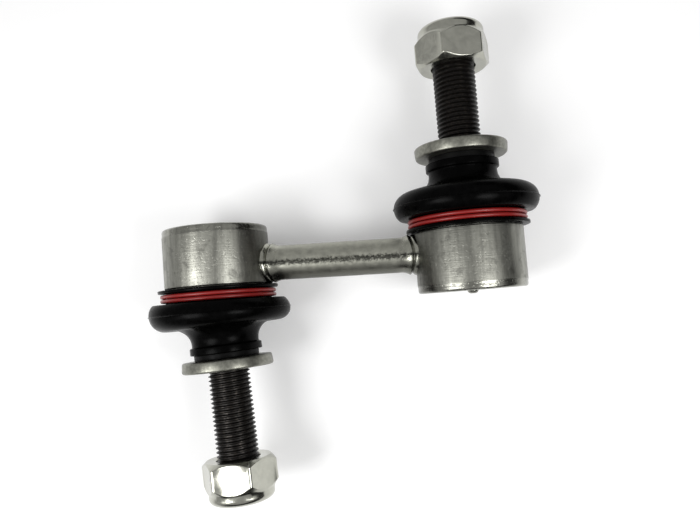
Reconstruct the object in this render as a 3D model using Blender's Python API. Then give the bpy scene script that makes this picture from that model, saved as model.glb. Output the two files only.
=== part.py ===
"""Short stabilizer link with two opposed ball joints, modelled in metres with +Z up.

The link lies on its side. Its rod runs along X, the right stud points along +Y and the left stud along -Y.
Each end is built about its own stud axis, local +Z, from the ball's centre toward the nut.
"""

import math

import bmesh
import bpy
from mathutils import Matrix, Quaternion

MM = 0.001

# Clearance left between pieces that touch on the real link, and the facets of a round piece
GAP = 0.3 * MM
OUTER_SEGMENTS = 32
INNER_SEGMENTS = 24

# Link: distance between the ball centres, and how far a stud can tilt
CENTRE_DISTANCE = 72.5 * MM
TILT_LIMIT = math.radians(22)

# Lean of each stud as the link lies, and its heading in the end's own XY plane
STUD_LEAN = {"right": 0.0, "left": math.radians(3.5)}
LEAN_HEADING = {"right": 0.0, "left": math.radians(207)}

# Rod: forged round bar that flares where it is welded to the housings
ROD_RADIUS = 4.9 * MM
ROD_ROOT_RADIUS = 4.95 * MM
ROD_FLARE_LENGTH = 3.0 * MM

# Ball stud: M12 thread, fine pitch
BALL_RADIUS = 8.5 * MM
NECK_RADIUS = 4.9 * MM
NECK_ABOVE_MOUTH = 3.0 * MM
SHOULDER_RADIUS = 6.8 * MM
SHOULDER_TAPER = 2.4 * MM
THREAD_RADIUS = 5.93 * MM
THREAD_LENGTH = 34.0 * MM
THREAD_CHAMFER = 0.8 * MM

# Ball seat: bearing shell that wraps the ball past its equator
SEAT_WALL = 2.6 * MM
SEAT_FLOOR = 0.6 * MM
SEAT_LIP = 0.75 * MM
SEAT_CHAMFER = 0.8 * MM
SEAT_MARGIN = math.radians(2.5)

# Closing cap under the rolled rim, with a centre nub
CAP_THICKNESS = 1.0 * MM
CAP_BOSS = 0.6 * MM
NUB_RADIUS = 1.3 * MM
NUB_HEIGHT = 1.4 * MM

# Housing: turned steel cup
HOUSING_WALL = 3.45 * MM
HOUSING_EDGE = 0.3 * MM
RIM_THICKNESS = 0.8 * MM
RIM_OVERHANG = 1.5 * MM
RIM_BAND = 2.1 * MM
RIM_DRAFT = 0.2 * MM
RIM_ROUND = 0.55 * MM
BEAD_SEAT_ABOVE_ROD = 0.05 * MM
BEAD_SEAT_DEPTH = 1.75 * MM
BARB_HEIGHT = 0.5 * MM
BARB_WIDTH = 0.9 * MM

# Dust boot: rubber bellows with a clamped bead, one bulge and a waisted neck
BOOT_WALL = 1.2 * MM
BOOT_BEAD_WALL = 1.4 * MM
BOOT_LIP_THICKNESS = 0.9 * MM
BOOT_LIP_REACH = 2.05 * MM
BULGE_RADIUS = 20.1 * MM
BULGE_ROUND = 4.1 * MM
BULGE_START = math.radians(48)
BULGE_FLOOR = 1.0 * MM
WAIST_ROUND = 4.8 * MM
BOOT_COLLAR_HEIGHT = 2.9 * MM
RIDGE_HEIGHT = 0.7 * MM
RIDGE_START = 1.0 * MM
RIDGE_WIDTH = 1.3 * MM

# Clamp ring: two turns of round wire, side by side, with one step from turn to turn
RING_WIRE_RADIUS = 0.55 * MM
RING_TURN_GAP = 0.15 * MM
RING_STEP_ANGLE = math.radians(40)

# Sleeve in the boot's neck, on which the stud turns
SLEEVE_WALL = 0.9 * MM
SLEEVE_BELOW_WAIST = 3.4 * MM
SLEEVE_FLANGE_THICKNESS = 1.1 * MM
SLEEVE_FLANGE_RADIUS = 9.2 * MM

# Stop washer
WASHER_RADIUS = 13.05 * MM
WASHER_THICKNESS = 3.2 * MM
WASHER_EDGE = 0.7 * MM

# Lock nut for the M12 thread, with a crimped collar that holds a nylon ring
NUT_ACROSS_FLATS = 19.0 * MM
NUT_HEX_HEIGHT = 8.9 * MM
NUT_HEIGHT = 12.0 * MM
NUT_CHAMFER = math.radians(30)
NUT_CHAMFER_INSET = 0.35 * MM
NUT_COLLAR_INSET = 0.2 * MM
NUT_DOME_ROUND = 3.0 * MM
NUT_LIP_THICKNESS = 1.2 * MM
INSERT_WALL = 1.6 * MM
INSERT_HEIGHT = 2.0 * MM

# How far each nut's collar stands past its stud's end, and how each hexagon is turned about its stud
NUT_PAST_END = {"right": 0.3 * MM, "left": 2.9 * MM}
NUT_TURN = {"right": math.radians(15), "left": math.radians(-1)}

# Radii that follow from the sizes above
SEAT_RADIUS = BALL_RADIUS + GAP + SEAT_WALL
BORE_RADIUS = SEAT_RADIUS + GAP
HOUSING_RADIUS = BORE_RADIUS + HOUSING_WALL
BEAD_SEAT_RADIUS = HOUSING_RADIUS - BEAD_SEAT_DEPTH
RING_SEAT_RADIUS = BEAD_SEAT_RADIUS + GAP + BOOT_BEAD_WALL
SLEEVE_RADIUS = SHOULDER_RADIUS + GAP + SLEEVE_WALL
BOOT_NECK_RADIUS = SLEEVE_RADIUS + GAP + BOOT_WALL
NUT_BORE_RADIUS = THREAD_RADIUS + GAP
INSERT_RADIUS = NUT_BORE_RADIUS + INSERT_WALL

# Angles of the seat's lip and of the point where the boot's bulge turns into its waist
SEAT_LIP_ANGLE = math.asin(NECK_RADIUS / BALL_RADIUS) + TILT_LIMIT + SEAT_MARGIN
BULGE_CENTRE_RADIUS = BULGE_RADIUS - BULGE_ROUND
WAIST_CENTRE_RADIUS = BOOT_NECK_RADIUS + WAIST_ROUND
WAIST_ANGLE = math.acos((WAIST_CENTRE_RADIUS - BULGE_CENTRE_RADIUS) / (BULGE_ROUND + WAIST_ROUND))

# Levels along the stud's axis, below the ball's centre
SEAT_BASE = -(BALL_RADIUS + GAP + SEAT_FLOOR)
CAP_INNER = SEAT_BASE - GAP
CAP_OUTER = CAP_INNER - CAP_THICKNESS
RIM_INNER = CAP_OUTER - GAP
HOUSING_BASE = RIM_INNER - RIM_THICKNESS

# Levels along the stud's axis, above the ball's centre
SEAT_TOP = (BALL_RADIUS + GAP) * math.cos(SEAT_LIP_ANGLE) + SEAT_LIP
MOUTH_BASE = SEAT_TOP + GAP
BEAD_SEAT_LEVEL = ROD_ROOT_RADIUS + BEAD_SEAT_ABOVE_ROD
BOOT_BASE = BEAD_SEAT_LEVEL + GAP
RING_GROOVE_BASE = BOOT_BASE + BOOT_LIP_THICKNESS
RING_GROOVE_TOP = RING_GROOVE_BASE + 4 * RING_WIRE_RADIUS + RING_TURN_GAP + 2 * GAP
HOUSING_TOP = RING_GROOVE_TOP + BULGE_FLOOR - GAP
BULGE_LEVEL = HOUSING_TOP + GAP + (BULGE_ROUND - BOOT_WALL) * math.sin(BULGE_START)
WAIST_LEVEL = BULGE_LEVEL + (BULGE_ROUND + WAIST_ROUND) * math.sin(WAIST_ANGLE)
BOOT_TOP = WAIST_LEVEL + BOOT_COLLAR_HEIGHT
SLEEVE_BASE = WAIST_LEVEL - SLEEVE_BELOW_WAIST
SLEEVE_TOP = BOOT_TOP + GAP + SLEEVE_FLANGE_THICKNESS
WASHER_BASE = SLEEVE_TOP + GAP
WASHER_TOP = WASHER_BASE + WASHER_THICKNESS
NECK_TOP = HOUSING_TOP + NECK_ABOVE_MOUTH
STUD_END = WASHER_TOP + THREAD_LENGTH


def principled(name, colour, roughness, metallic):
    """Return a material with one Principled shader."""
    material = bpy.data.materials.new(name)
    material.use_nodes = True
    shader = material.node_tree.nodes["Principled BSDF"]
    shader.inputs["Base Color"].default_value = (*colour, 1.0)
    shader.inputs["Roughness"].default_value = roughness
    shader.inputs["Metallic"].default_value = metallic
    material.diffuse_color = (*colour, 1.0)
    return material


def add_object(name, data, material, parent=None):
    """Link a new object that carries the data and its material."""
    item = bpy.data.objects.new(name, data)
    bpy.context.collection.objects.link(item)
    item.parent = parent
    if material:
        data.materials.append(material)
    return item


def arc(centre, radius, start, end, steps):
    """Return the points of an arc in the (radius, level) plane, both ends included."""
    angles = [start + (end - start) * i / steps for i in range(steps + 1)]
    return [(centre[0] + radius * math.cos(a), centre[1] + radius * math.sin(a)) for a in angles]


def revolve(name, profile, segments, material, parent=None, smooth=35):
    """Turn a (radius, level) profile about local Z into one closed body.

    A profile that starts and ends on the axis becomes a solid, and any other is closed into a ring.
    """
    bm = bmesh.new()
    verts = [bm.verts.new((radius, 0, level)) for radius, level in profile]
    on_axis = profile[0][0] == 0 and profile[-1][0] == 0
    following = verts[1:] if on_axis else verts[1:] + verts[:1]
    edges = [bm.edges.new(pair) for pair in zip(verts, following)]
    bmesh.ops.spin(
        bm, geom=verts + edges, cent=(0, 0, 0), axis=(0, 0, 1),
        angle=2 * math.pi, steps=segments, use_merge=True,
    )
    bmesh.ops.remove_doubles(bm, verts=bm.verts, dist=0.002 * MM)
    bmesh.ops.recalc_face_normals(bm, faces=bm.faces)
    mesh = bpy.data.meshes.new(name)
    bm.to_mesh(mesh)
    bm.free()
    mesh.shade_smooth()
    mesh.set_sharp_from_angle(angle=math.radians(smooth))
    return add_object(name, mesh, material, parent)


def prism(name, sides, radius, low, high, parent=None):
    """Return a hidden regular prism about local Z, used to cut another object."""
    bm = bmesh.new()
    bmesh.ops.create_cone(
        bm, cap_ends=True, segments=sides, radius1=radius, radius2=radius, depth=high - low,
    )
    bmesh.ops.translate(bm, verts=bm.verts, vec=(0, 0, (high + low) / 2))
    mesh = bpy.data.meshes.new(name)
    bm.to_mesh(mesh)
    bm.free()
    cutter = add_object(name, mesh, None, parent)
    cutter.hide_render = True
    cutter.display_type = "WIRE"
    return cutter


def cut(item, cutter, operation):
    """Add an exact Boolean to the object."""
    modifier = item.modifiers.new(cutter.name, "BOOLEAN")
    modifier.operation = operation
    modifier.solver = "EXACT"
    modifier.object = cutter


def lean_rotation(side):
    """Return the rotation about the ball's centre that leans the stud toward its heading."""
    heading = LEAN_HEADING[side]
    return Matrix.Rotation(STUD_LEAN[side], 4, (-math.sin(heading), math.cos(heading), 0))


def swing(level):
    """Return the opening radius that lets the neck tilt to its limit at a level above the ball's centre."""
    return level * math.tan(TILT_LIMIT) + NECK_RADIUS / math.cos(TILT_LIMIT) + GAP


def make_rod(ends, material):
    """Forged bar with a flared root at each housing, cut to a saddle on the housing's wall."""
    root = CENTRE_DISTANCE / 2 - HOUSING_RADIUS
    overlap = HOUSING_WALL
    flare = ROD_FLARE_LENGTH
    rise = ROD_ROOT_RADIUS - ROD_RADIUS
    steps = 5
    half = [
        (ROD_RADIUS + rise * (1 - math.cos(math.pi / 2 * i / steps)), root - flare + flare * i / steps)
        for i in range(steps + 1)
    ]
    half.append((ROD_ROOT_RADIUS, root + overlap))
    other = [(radius, -level) for radius, level in reversed(half)]
    profile = [(0, -root - overlap), *other, *half, (0, root + overlap)]
    rod = revolve("link_rod", profile, OUTER_SEGMENTS, material)
    rod.rotation_euler = (0, math.pi / 2, 0)
    for side, end in ends.items():
        reach = 2 * ROD_ROOT_RADIUS
        saddle = prism(f"saddle_{side}", 2 * OUTER_SEGMENTS, HOUSING_RADIUS + GAP, -reach, reach, end)
        cut(rod, saddle, "DIFFERENCE")


def make_housing(side, end, material):
    """Steel cup: rolled rim over the cap, bearing bore, conical mouth and the boot's bead seat."""
    band_radius = HOUSING_RADIUS - RIM_DRAFT
    barb_radius = BEAD_SEAT_RADIUS + BARB_HEIGHT
    barb_base = HOUSING_TOP - BARB_WIDTH
    outside = [
        (band_radius - RIM_ROUND, HOUSING_BASE),
        (band_radius - 0.3 * RIM_ROUND, HOUSING_BASE + 0.3 * RIM_ROUND),
        (band_radius, HOUSING_BASE + RIM_ROUND),
        (band_radius, HOUSING_BASE + RIM_BAND - RIM_DRAFT),
        (HOUSING_RADIUS, HOUSING_BASE + RIM_BAND),
        (HOUSING_RADIUS, BEAD_SEAT_LEVEL - HOUSING_EDGE),
        (HOUSING_RADIUS - HOUSING_EDGE, BEAD_SEAT_LEVEL),
        (BEAD_SEAT_RADIUS, BEAD_SEAT_LEVEL),
        (BEAD_SEAT_RADIUS, barb_base - BARB_HEIGHT),
        (barb_radius, barb_base),
        (barb_radius, HOUSING_TOP - BARB_HEIGHT),
        (barb_radius - BARB_HEIGHT, HOUSING_TOP),
    ]
    inside = [
        (swing(HOUSING_TOP), HOUSING_TOP),
        (swing(MOUTH_BASE), MOUTH_BASE),
        (BORE_RADIUS, MOUTH_BASE),
        (BORE_RADIUS, RIM_INNER),
        (BORE_RADIUS - RIM_OVERHANG, RIM_INNER),
        (BORE_RADIUS - RIM_OVERHANG, HOUSING_BASE),
    ]
    revolve(f"{side}_housing", outside + inside, OUTER_SEGMENTS, material, end)


def make_cap(side, end, material):
    """Disc under the rolled rim, with a boss that fills the rim's opening and a centre nub."""
    boss_radius = BORE_RADIUS - RIM_OVERHANG - GAP
    boss_level = CAP_OUTER - CAP_BOSS
    profile = [
        (0, CAP_INNER),
        (SEAT_RADIUS, CAP_INNER),
        (SEAT_RADIUS, CAP_OUTER),
        (boss_radius, CAP_OUTER),
        (boss_radius - CAP_BOSS, boss_level),
        (NUB_RADIUS, boss_level),
        (NUB_RADIUS, boss_level - 0.6 * NUB_HEIGHT),
        (0.5 * NUB_RADIUS, boss_level - NUB_HEIGHT),
        (0, boss_level - NUB_HEIGHT),
    ]
    revolve(f"{side}_closing_cap", profile, INNER_SEGMENTS, material, end)


def make_seat(side, end, material):
    """Bearing shell: spherical inside, wrapping the ball as far as the neck's swing allows."""
    socket_radius = BALL_RADIUS + GAP
    lip_level = socket_radius * math.cos(SEAT_LIP_ANGLE)
    socket = arc((0, 0), socket_radius, math.pi / 2 - SEAT_LIP_ANGLE, -math.pi / 2, 9)
    profile = [
        (0, SEAT_BASE),
        (SEAT_RADIUS - SEAT_CHAMFER, SEAT_BASE),
        (SEAT_RADIUS, SEAT_BASE + SEAT_CHAMFER),
        (SEAT_RADIUS, SEAT_TOP),
        (max(socket[0][0], swing(SEAT_TOP)), lip_level + SEAT_LIP),
        *socket[:-1],
        (0, -socket_radius),
    ]
    revolve(f"{side}_ball_seat", profile, INNER_SEGMENTS, material, end)


def make_stud(side, axis, material):
    """Ball, neck, tapered shoulder that carries the washer, and the threaded shank."""
    neck_angle = math.asin(NECK_RADIUS / BALL_RADIUS)
    ball = arc((0, 0), BALL_RADIUS, -math.pi / 2, math.pi / 2 - neck_angle, 10)
    profile = [
        (0, -BALL_RADIUS),
        *ball[1:],
        (NECK_RADIUS, NECK_TOP),
        (SHOULDER_RADIUS, NECK_TOP + SHOULDER_TAPER),
        (SHOULDER_RADIUS, WASHER_BASE - GAP),
        (THREAD_RADIUS, WASHER_BASE - GAP),
        (THREAD_RADIUS, STUD_END - THREAD_CHAMFER),
        (THREAD_RADIUS - THREAD_CHAMFER, STUD_END),
        (0, STUD_END),
    ]
    revolve(f"{side}_ball_stud", profile, INNER_SEGMENTS, material, axis)


def make_boot(side, end, material):
    """Rubber shell: bead with a flared lip and the ring's groove, round bulge, waist and ridged collar."""
    bulge = (BULGE_CENTRE_RADIUS, BULGE_LEVEL)
    waist = (WAIST_CENTRE_RADIUS, WAIST_LEVEL)
    lip_radius = RING_SEAT_RADIUS + BOOT_LIP_REACH
    bead_bore = BEAD_SEAT_RADIUS + GAP
    barb_bore = bead_bore + BARB_HEIGHT
    barb_level = HOUSING_TOP - BARB_WIDTH - BARB_HEIGHT - GAP
    neck_bore = SLEEVE_RADIUS + GAP
    ridge_level = WAIST_LEVEL + RIDGE_START
    outside = [
        (bead_bore, BOOT_BASE),
        (lip_radius - 0.4 * BOOT_LIP_THICKNESS, BOOT_BASE),
        (lip_radius, BOOT_BASE + 0.4 * BOOT_LIP_THICKNESS),
        (lip_radius - 0.1 * BOOT_LIP_THICKNESS, RING_GROOVE_BASE),
        (RING_SEAT_RADIUS, RING_GROOVE_BASE),
        (RING_SEAT_RADIUS, RING_GROOVE_TOP),
        *arc(bulge, BULGE_ROUND, -BULGE_START, WAIST_ANGLE, 7),
        *arc(waist, WAIST_ROUND, WAIST_ANGLE - math.pi, -math.pi, 3)[1:],
        (BOOT_NECK_RADIUS, ridge_level),
        (BOOT_NECK_RADIUS + RIDGE_HEIGHT, ridge_level + RIDGE_HEIGHT / 2),
        (BOOT_NECK_RADIUS + RIDGE_HEIGHT, ridge_level + RIDGE_WIDTH),
        (BOOT_NECK_RADIUS, ridge_level + RIDGE_WIDTH),
        (BOOT_NECK_RADIUS, BOOT_TOP),
    ]
    inside = [
        (neck_bore, BOOT_TOP),
        *arc(waist, WAIST_ROUND + BOOT_WALL, -math.pi, WAIST_ANGLE - math.pi, 2),
        *arc(bulge, BULGE_ROUND - BOOT_WALL, WAIST_ANGLE, -BULGE_START, 4)[1:],
        (barb_bore, HOUSING_TOP + GAP),
        (barb_bore, barb_level + BARB_HEIGHT),
        (bead_bore, barb_level),
    ]
    boot = revolve(f"{side}_dust_boot", outside + inside, OUTER_SEGMENTS, material, end, smooth=50)

    # The bead stays square on the housing and the neck follows the stud
    full = lean_rotation(side).to_quaternion()
    for vertex in boot.data.vertices:
        share = min(max((vertex.co.z - HOUSING_TOP) / (SLEEVE_BASE - HOUSING_TOP), 0), 1)
        vertex.co.rotate(Quaternion().slerp(full, share))


def make_ring(side, end, material):
    """Two turns of wire in the bead's groove. The step between the turns is on the underside."""
    pitch = 2 * RING_WIRE_RADIUS + RING_TURN_GAP
    radius = RING_SEAT_RADIUS + GAP + RING_WIRE_RADIUS
    first_level = (RING_GROOVE_BASE + RING_GROOVE_TOP - pitch) / 2
    end_angle = 4 * math.pi - 1.4 * RING_STEP_ANGLE
    steps = 2 * OUTER_SEGMENTS
    curve = bpy.data.curves.new(f"{side}_boot_clamp_ring", "CURVE")
    curve.dimensions = "3D"
    curve.bevel_depth = RING_WIRE_RADIUS
    curve.bevel_resolution = 1
    curve.use_fill_caps = True
    spline = curve.splines.new("POLY")
    spline.points.add(steps)
    for i, point in enumerate(spline.points):
        angle = end_angle * i / steps
        climbed = min(max((angle - 2 * math.pi + RING_STEP_ANGLE) / RING_STEP_ANGLE, 0), 1)
        turned = angle + math.pi / 2
        level = first_level + pitch * climbed
        point.co = (radius * math.cos(turned), radius * math.sin(turned), level, 1)
    add_object(curve.name, curve, material, end)


def make_sleeve(side, axis, material):
    """Flanged sleeve in the boot's neck, with its flange under the washer."""
    flange_base = BOOT_TOP + GAP
    bore = SHOULDER_RADIUS + GAP
    profile = [
        (bore, SLEEVE_BASE),
        (SLEEVE_RADIUS, SLEEVE_BASE),
        (SLEEVE_RADIUS, flange_base),
        (SLEEVE_FLANGE_RADIUS, flange_base),
        (SLEEVE_FLANGE_RADIUS, SLEEVE_TOP),
        (bore, SLEEVE_TOP),
    ]
    revolve(f"{side}_neck_sleeve", profile, INNER_SEGMENTS, material, axis)


def make_washer(side, axis, material):
    """Thick washer on the stud's shoulder, with soft stamped edges."""
    bore = THREAD_RADIUS + GAP
    edge = WASHER_EDGE
    profile = [
        (bore, WASHER_BASE),
        (WASHER_RADIUS - edge, WASHER_BASE),
        (WASHER_RADIUS - 0.3 * edge, WASHER_BASE + 0.3 * edge),
        (WASHER_RADIUS, WASHER_BASE + edge),
        (WASHER_RADIUS, WASHER_TOP - edge),
        (WASHER_RADIUS - 0.3 * edge, WASHER_TOP - 0.3 * edge),
        (WASHER_RADIUS - edge, WASHER_TOP),
        (bore, WASHER_TOP),
    ]
    revolve(f"{side}_stop_washer", profile, OUTER_SEGMENTS, material, axis, smooth=50)


def make_nut(side, axis, material, insert_material):
    """Hexagon with turned chamfers and a domed collar, and the nylon ring held in the collar."""
    flat = NUT_ACROSS_FLATS / 2
    corner = flat / math.cos(math.pi / 6)
    collar = flat - NUT_COLLAR_INSET
    chamfer = (corner - flat + NUT_CHAMFER_INSET) * math.tan(NUT_CHAMFER)
    pocket_radius = INSERT_RADIUS + GAP
    pocket_top = NUT_HEIGHT - NUT_LIP_THICKNESS
    pocket_base = pocket_top - INSERT_HEIGHT - 2 * GAP
    dome_centre = (collar - NUT_DOME_ROUND, NUT_HEIGHT - NUT_DOME_ROUND)
    profile = [
        (NUT_BORE_RADIUS, 0),
        (flat - NUT_CHAMFER_INSET, 0),
        (corner + GAP, chamfer + GAP * math.tan(NUT_CHAMFER)),
        (corner + GAP, NUT_HEX_HEIGHT - (corner + GAP - collar)),
        (collar, NUT_HEX_HEIGHT),
        *arc(dome_centre, NUT_DOME_ROUND, 0, math.pi / 2, 3),
        (NUT_BORE_RADIUS, NUT_HEIGHT),
        (NUT_BORE_RADIUS, pocket_top),
        (pocket_radius, pocket_top),
        (pocket_radius, pocket_base),
        (NUT_BORE_RADIUS, pocket_base),
    ]
    insert_profile = [
        (NUT_BORE_RADIUS, pocket_base + GAP),
        (INSERT_RADIUS, pocket_base + GAP),
        (INSERT_RADIUS, pocket_top - GAP),
        (NUT_BORE_RADIUS, pocket_top - GAP),
    ]
    nut = revolve(f"{side}_lock_nut", profile, OUTER_SEGMENTS, material, axis)
    insert = revolve(f"{side}_nylon_ring", insert_profile, INNER_SEGMENTS, insert_material, axis)
    for item in (nut, insert):
        item.location = (0, 0, STUD_END + NUT_PAST_END[side] - NUT_HEIGHT)
    nut.rotation_euler = (0, 0, NUT_TURN[side])
    hexagon = prism(f"hexagon_{side}", 6, corner, -flat, 2 * NUT_HEIGHT, nut)
    hexagon.rotation_euler = (0, 0, math.pi / 2)
    cut(nut, hexagon, "INTERSECT")


def main():
    """Build the whole link."""
    for item in list(bpy.data.objects):
        bpy.data.objects.remove(item, do_unlink=True)
    zinc = principled("zinc_plated_steel", (0.30, 0.30, 0.27), 0.36, 1.0)
    nut_zinc = principled("bright_zinc_plate", (0.52, 0.52, 0.50), 0.22, 1.0)
    phosphate = principled("black_phosphated_steel", (0.022, 0.018, 0.015), 0.45, 0.6)
    rubber = principled("black_rubber", (0.008, 0.008, 0.008), 0.55, 0.0)
    red = principled("red_enamelled_wire", (0.36, 0.018, 0.025), 0.4, 0.0)
    sleeve_plastic = principled("black_polyamide", (0.012, 0.012, 0.012), 0.5, 0.0)
    seat_plastic = principled("natural_acetal", (0.75, 0.74, 0.70), 0.45, 0.0)
    nylon = principled("white_nylon", (0.70, 0.70, 0.66), 0.5, 0.0)

    # Each end hangs on an empty at its ball's centre, turned so that local +Z follows the stud
    ends = {}
    for side, sign, turn in (("right", 1, 0), ("left", -1, math.pi)):
        end = add_object(f"{side}_ball_centre", None, None)
        end.location = (sign * CENTRE_DISTANCE / 2, 0, 0)
        end.rotation_euler = (-math.pi / 2, 0, turn)
        ends[side] = end
    make_rod(ends, zinc)
    for side, end in ends.items():
        axis = add_object(f"{side}_stud_axis", None, None, end)
        axis.rotation_euler = lean_rotation(side).to_euler()
        make_housing(side, end, zinc)
        make_cap(side, end, zinc)
        make_seat(side, end, seat_plastic)
        make_boot(side, end, rubber)
        make_ring(side, end, red)
        make_stud(side, axis, phosphate)
        make_sleeve(side, axis, sleeve_plastic)
        make_washer(side, axis, nut_zinc)
        make_nut(side, axis, nut_zinc, nylon)


if __name__ == "__main__":
    main()
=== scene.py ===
"""Finished look of a short stabilizer link, laid out as a Blender add-on and run as a script.

The link lies on its side: its rod runs along X, the right stud points along +Y and the left stud along -Y.
Each end is made about its own stud axis, local +Z, from the ball's centre toward the nut.
"""

import math

import bmesh
import bpy
from bpy.props import FloatProperty, FloatVectorProperty, PointerProperty
from mathutils import Euler, Matrix, Quaternion, Vector, noise


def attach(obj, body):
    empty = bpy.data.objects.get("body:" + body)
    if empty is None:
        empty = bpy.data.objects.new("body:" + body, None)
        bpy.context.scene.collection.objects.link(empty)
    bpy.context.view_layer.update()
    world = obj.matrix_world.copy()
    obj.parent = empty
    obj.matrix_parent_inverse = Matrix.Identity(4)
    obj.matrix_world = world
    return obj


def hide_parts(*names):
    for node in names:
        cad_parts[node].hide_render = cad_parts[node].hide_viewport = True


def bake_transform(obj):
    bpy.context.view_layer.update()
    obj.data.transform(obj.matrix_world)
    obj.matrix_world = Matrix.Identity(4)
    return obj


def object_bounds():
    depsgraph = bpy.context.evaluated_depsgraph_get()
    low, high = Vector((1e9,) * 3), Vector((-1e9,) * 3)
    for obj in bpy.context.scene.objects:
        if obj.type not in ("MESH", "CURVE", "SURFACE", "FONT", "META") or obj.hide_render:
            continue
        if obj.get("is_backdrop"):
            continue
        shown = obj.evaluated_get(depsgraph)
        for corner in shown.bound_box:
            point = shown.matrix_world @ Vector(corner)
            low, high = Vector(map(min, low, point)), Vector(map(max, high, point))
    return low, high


bl_info = {
    "name": "Stabilizer link",
    "version": (1, 0, 0),
    "blender": (4, 5, 0),
    "location": "3D View > Sidebar > Link",
    "description": "Builds the finished pieces of a stabilizer link with two ball-joint ends",
    "category": "Object",
}

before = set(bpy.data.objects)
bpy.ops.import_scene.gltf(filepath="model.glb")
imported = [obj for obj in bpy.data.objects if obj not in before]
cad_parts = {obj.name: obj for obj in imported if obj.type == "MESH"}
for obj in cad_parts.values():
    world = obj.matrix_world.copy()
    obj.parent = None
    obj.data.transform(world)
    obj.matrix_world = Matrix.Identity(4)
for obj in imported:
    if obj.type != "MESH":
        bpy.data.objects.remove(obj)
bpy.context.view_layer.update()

MM = 0.001
SIDES = ("right", "left")

# Facets of a round piece, least facets of a softened edge, and the distance at which points are one
SEGMENTS = 128
EDGE_SEGMENTS = 4
DOUBLES = 0.002 * MM

# Clearance between pieces, and the lean of each stud with its heading in the end's own XY plane
GAP = 0.3 * MM
TILT_LIMIT = math.radians(22)
STUD_LEAN = {"right": 0.0, "left": math.radians(3.5)}
LEAN_HEADING = {"right": 0.0, "left": math.radians(207)}

# Levels along the stud's axis, from the ball's centre
HOUSING_BASE = -11.8 * MM
BEAD_SEAT_LEVEL = 5.0 * MM
HOUSING_TOP = 9.85 * MM
SLEEVE_BASE = 17.64 * MM
WAIST_LEVEL = 21.04 * MM
BOOT_TOP = 23.94 * MM
WASHER_BASE = 25.64 * MM
WASHER_TOP = 28.84 * MM
STUD_END = 62.84 * MM
NUT_BASE = {"right": 51.14 * MM, "left": 53.74 * MM}
NUT_TURN = {"right": math.radians(15), "left": math.radians(-1)}

# Rod: how far it leans across the link in a unit of length, and the same for its parting line on it
ROD_SKEW = -0.024
PARTING_SLOPE = -0.006
PARTING_SHIFT = -0.35 * MM
PARTING_HEIGHT = 0.16 * MM
PARTING_WIDTH = 0.5 * MM

# Housing and what it holds
BORE_RADIUS = 11.7 * MM
BEAD_SEAT_RADIUS = 13.4 * MM
BARB_HEIGHT = 0.5 * MM
RIM_OVERHANG = 1.5 * MM
RIM_BAND = 2.1 * MM
RIM_INNER = -11.0 * MM
MOUTH_BASE = 5.49 * MM
CAP_OUTER = -10.7 * MM
SEAT_TOP = 5.19 * MM

# Boot
RING_GROOVE = (6.2 * MM, 9.15 * MM)
RING_SEAT_RADIUS = 15.1 * MM
BULGE_CENTRE = (16.0 * MM, 12.305 * MM)
BULGE_ROUND = 4.1 * MM
WAIST_CENTRE = (14.3 * MM, WAIST_LEVEL)
WAIST_ROUND = 4.8 * MM
WAIST_ANGLE = math.radians(101)
BULGE_START = math.radians(48)
BOOT_WALL = 1.2 * MM

# Clamp ring: the wire, the rise from turn to turn, and the angle that the rise takes
WIRE_RADIUS = 0.55 * MM
WIRE_PITCH = 1.25 * MM
WIRE_STEP = math.radians(40)

# Stud and nut
NECK_RADIUS = 4.9 * MM
SHOULDER_RADIUS = 6.8 * MM
SLEEVE_RADIUS = 8.0 * MM
NUT_BORE_RADIUS = 6.23 * MM
NUT_CHAMFER = math.radians(40)


class LinkSizes(bpy.types.PropertyGroup):
    """Sizes of the link that a user would change."""

    centre_distance: FloatProperty(
        name="Centre distance", description="Between the two ball centres",
        default=72.5 * MM, unit="LENGTH", subtype="DISTANCE", precision=5,
    )
    rod_radius: FloatProperty(
        name="Rod radius", description="Forged bar between the housings",
        default=4.95 * MM, unit="LENGTH", subtype="DISTANCE", precision=5,
    )
    housing_radius: FloatProperty(
        name="Housing radius", description="Turned outside of each ball housing",
        default=15.15 * MM, unit="LENGTH", subtype="DISTANCE", precision=5,
    )
    ball_radius: FloatProperty(
        name="Ball radius", description="Ball of each stud",
        default=8.5 * MM, unit="LENGTH", subtype="DISTANCE", precision=5,
    )
    thread_radius: FloatProperty(
        name="Thread radius", description="Crest of the stud's thread",
        default=5.93 * MM, unit="LENGTH", subtype="DISTANCE", precision=5,
    )
    thread_pitch: FloatProperty(
        name="Thread pitch", description="Rise of the thread in one turn",
        default=1.25 * MM, unit="LENGTH", subtype="DISTANCE", precision=5,
    )
    washer_radius: FloatProperty(
        name="Washer radius", description="Stop washer on each stud",
        default=13.05 * MM, unit="LENGTH", subtype="DISTANCE", precision=5,
    )
    across_flats: FloatProperty(
        name="Across flats", description="Hexagon of the lock nuts",
        default=19.0 * MM, unit="LENGTH", subtype="DISTANCE", precision=5,
    )


def linear(code):
    """Turn an sRGB hex colour into linear values."""
    parts = [int(code[i : i + 2], 16) / 255 for i in (1, 3, 5)]
    return tuple(c / 12.92 if c <= 0.04045 else ((c + 0.055) / 1.055) ** 2.4 for c in parts)


def colour(name, description, code):
    """Return a colour property whose default is an sRGB hex colour."""
    return FloatVectorProperty(
        name=name, description=description, default=linear(code), subtype="COLOR", size=3, min=0, max=1,
    )


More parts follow.
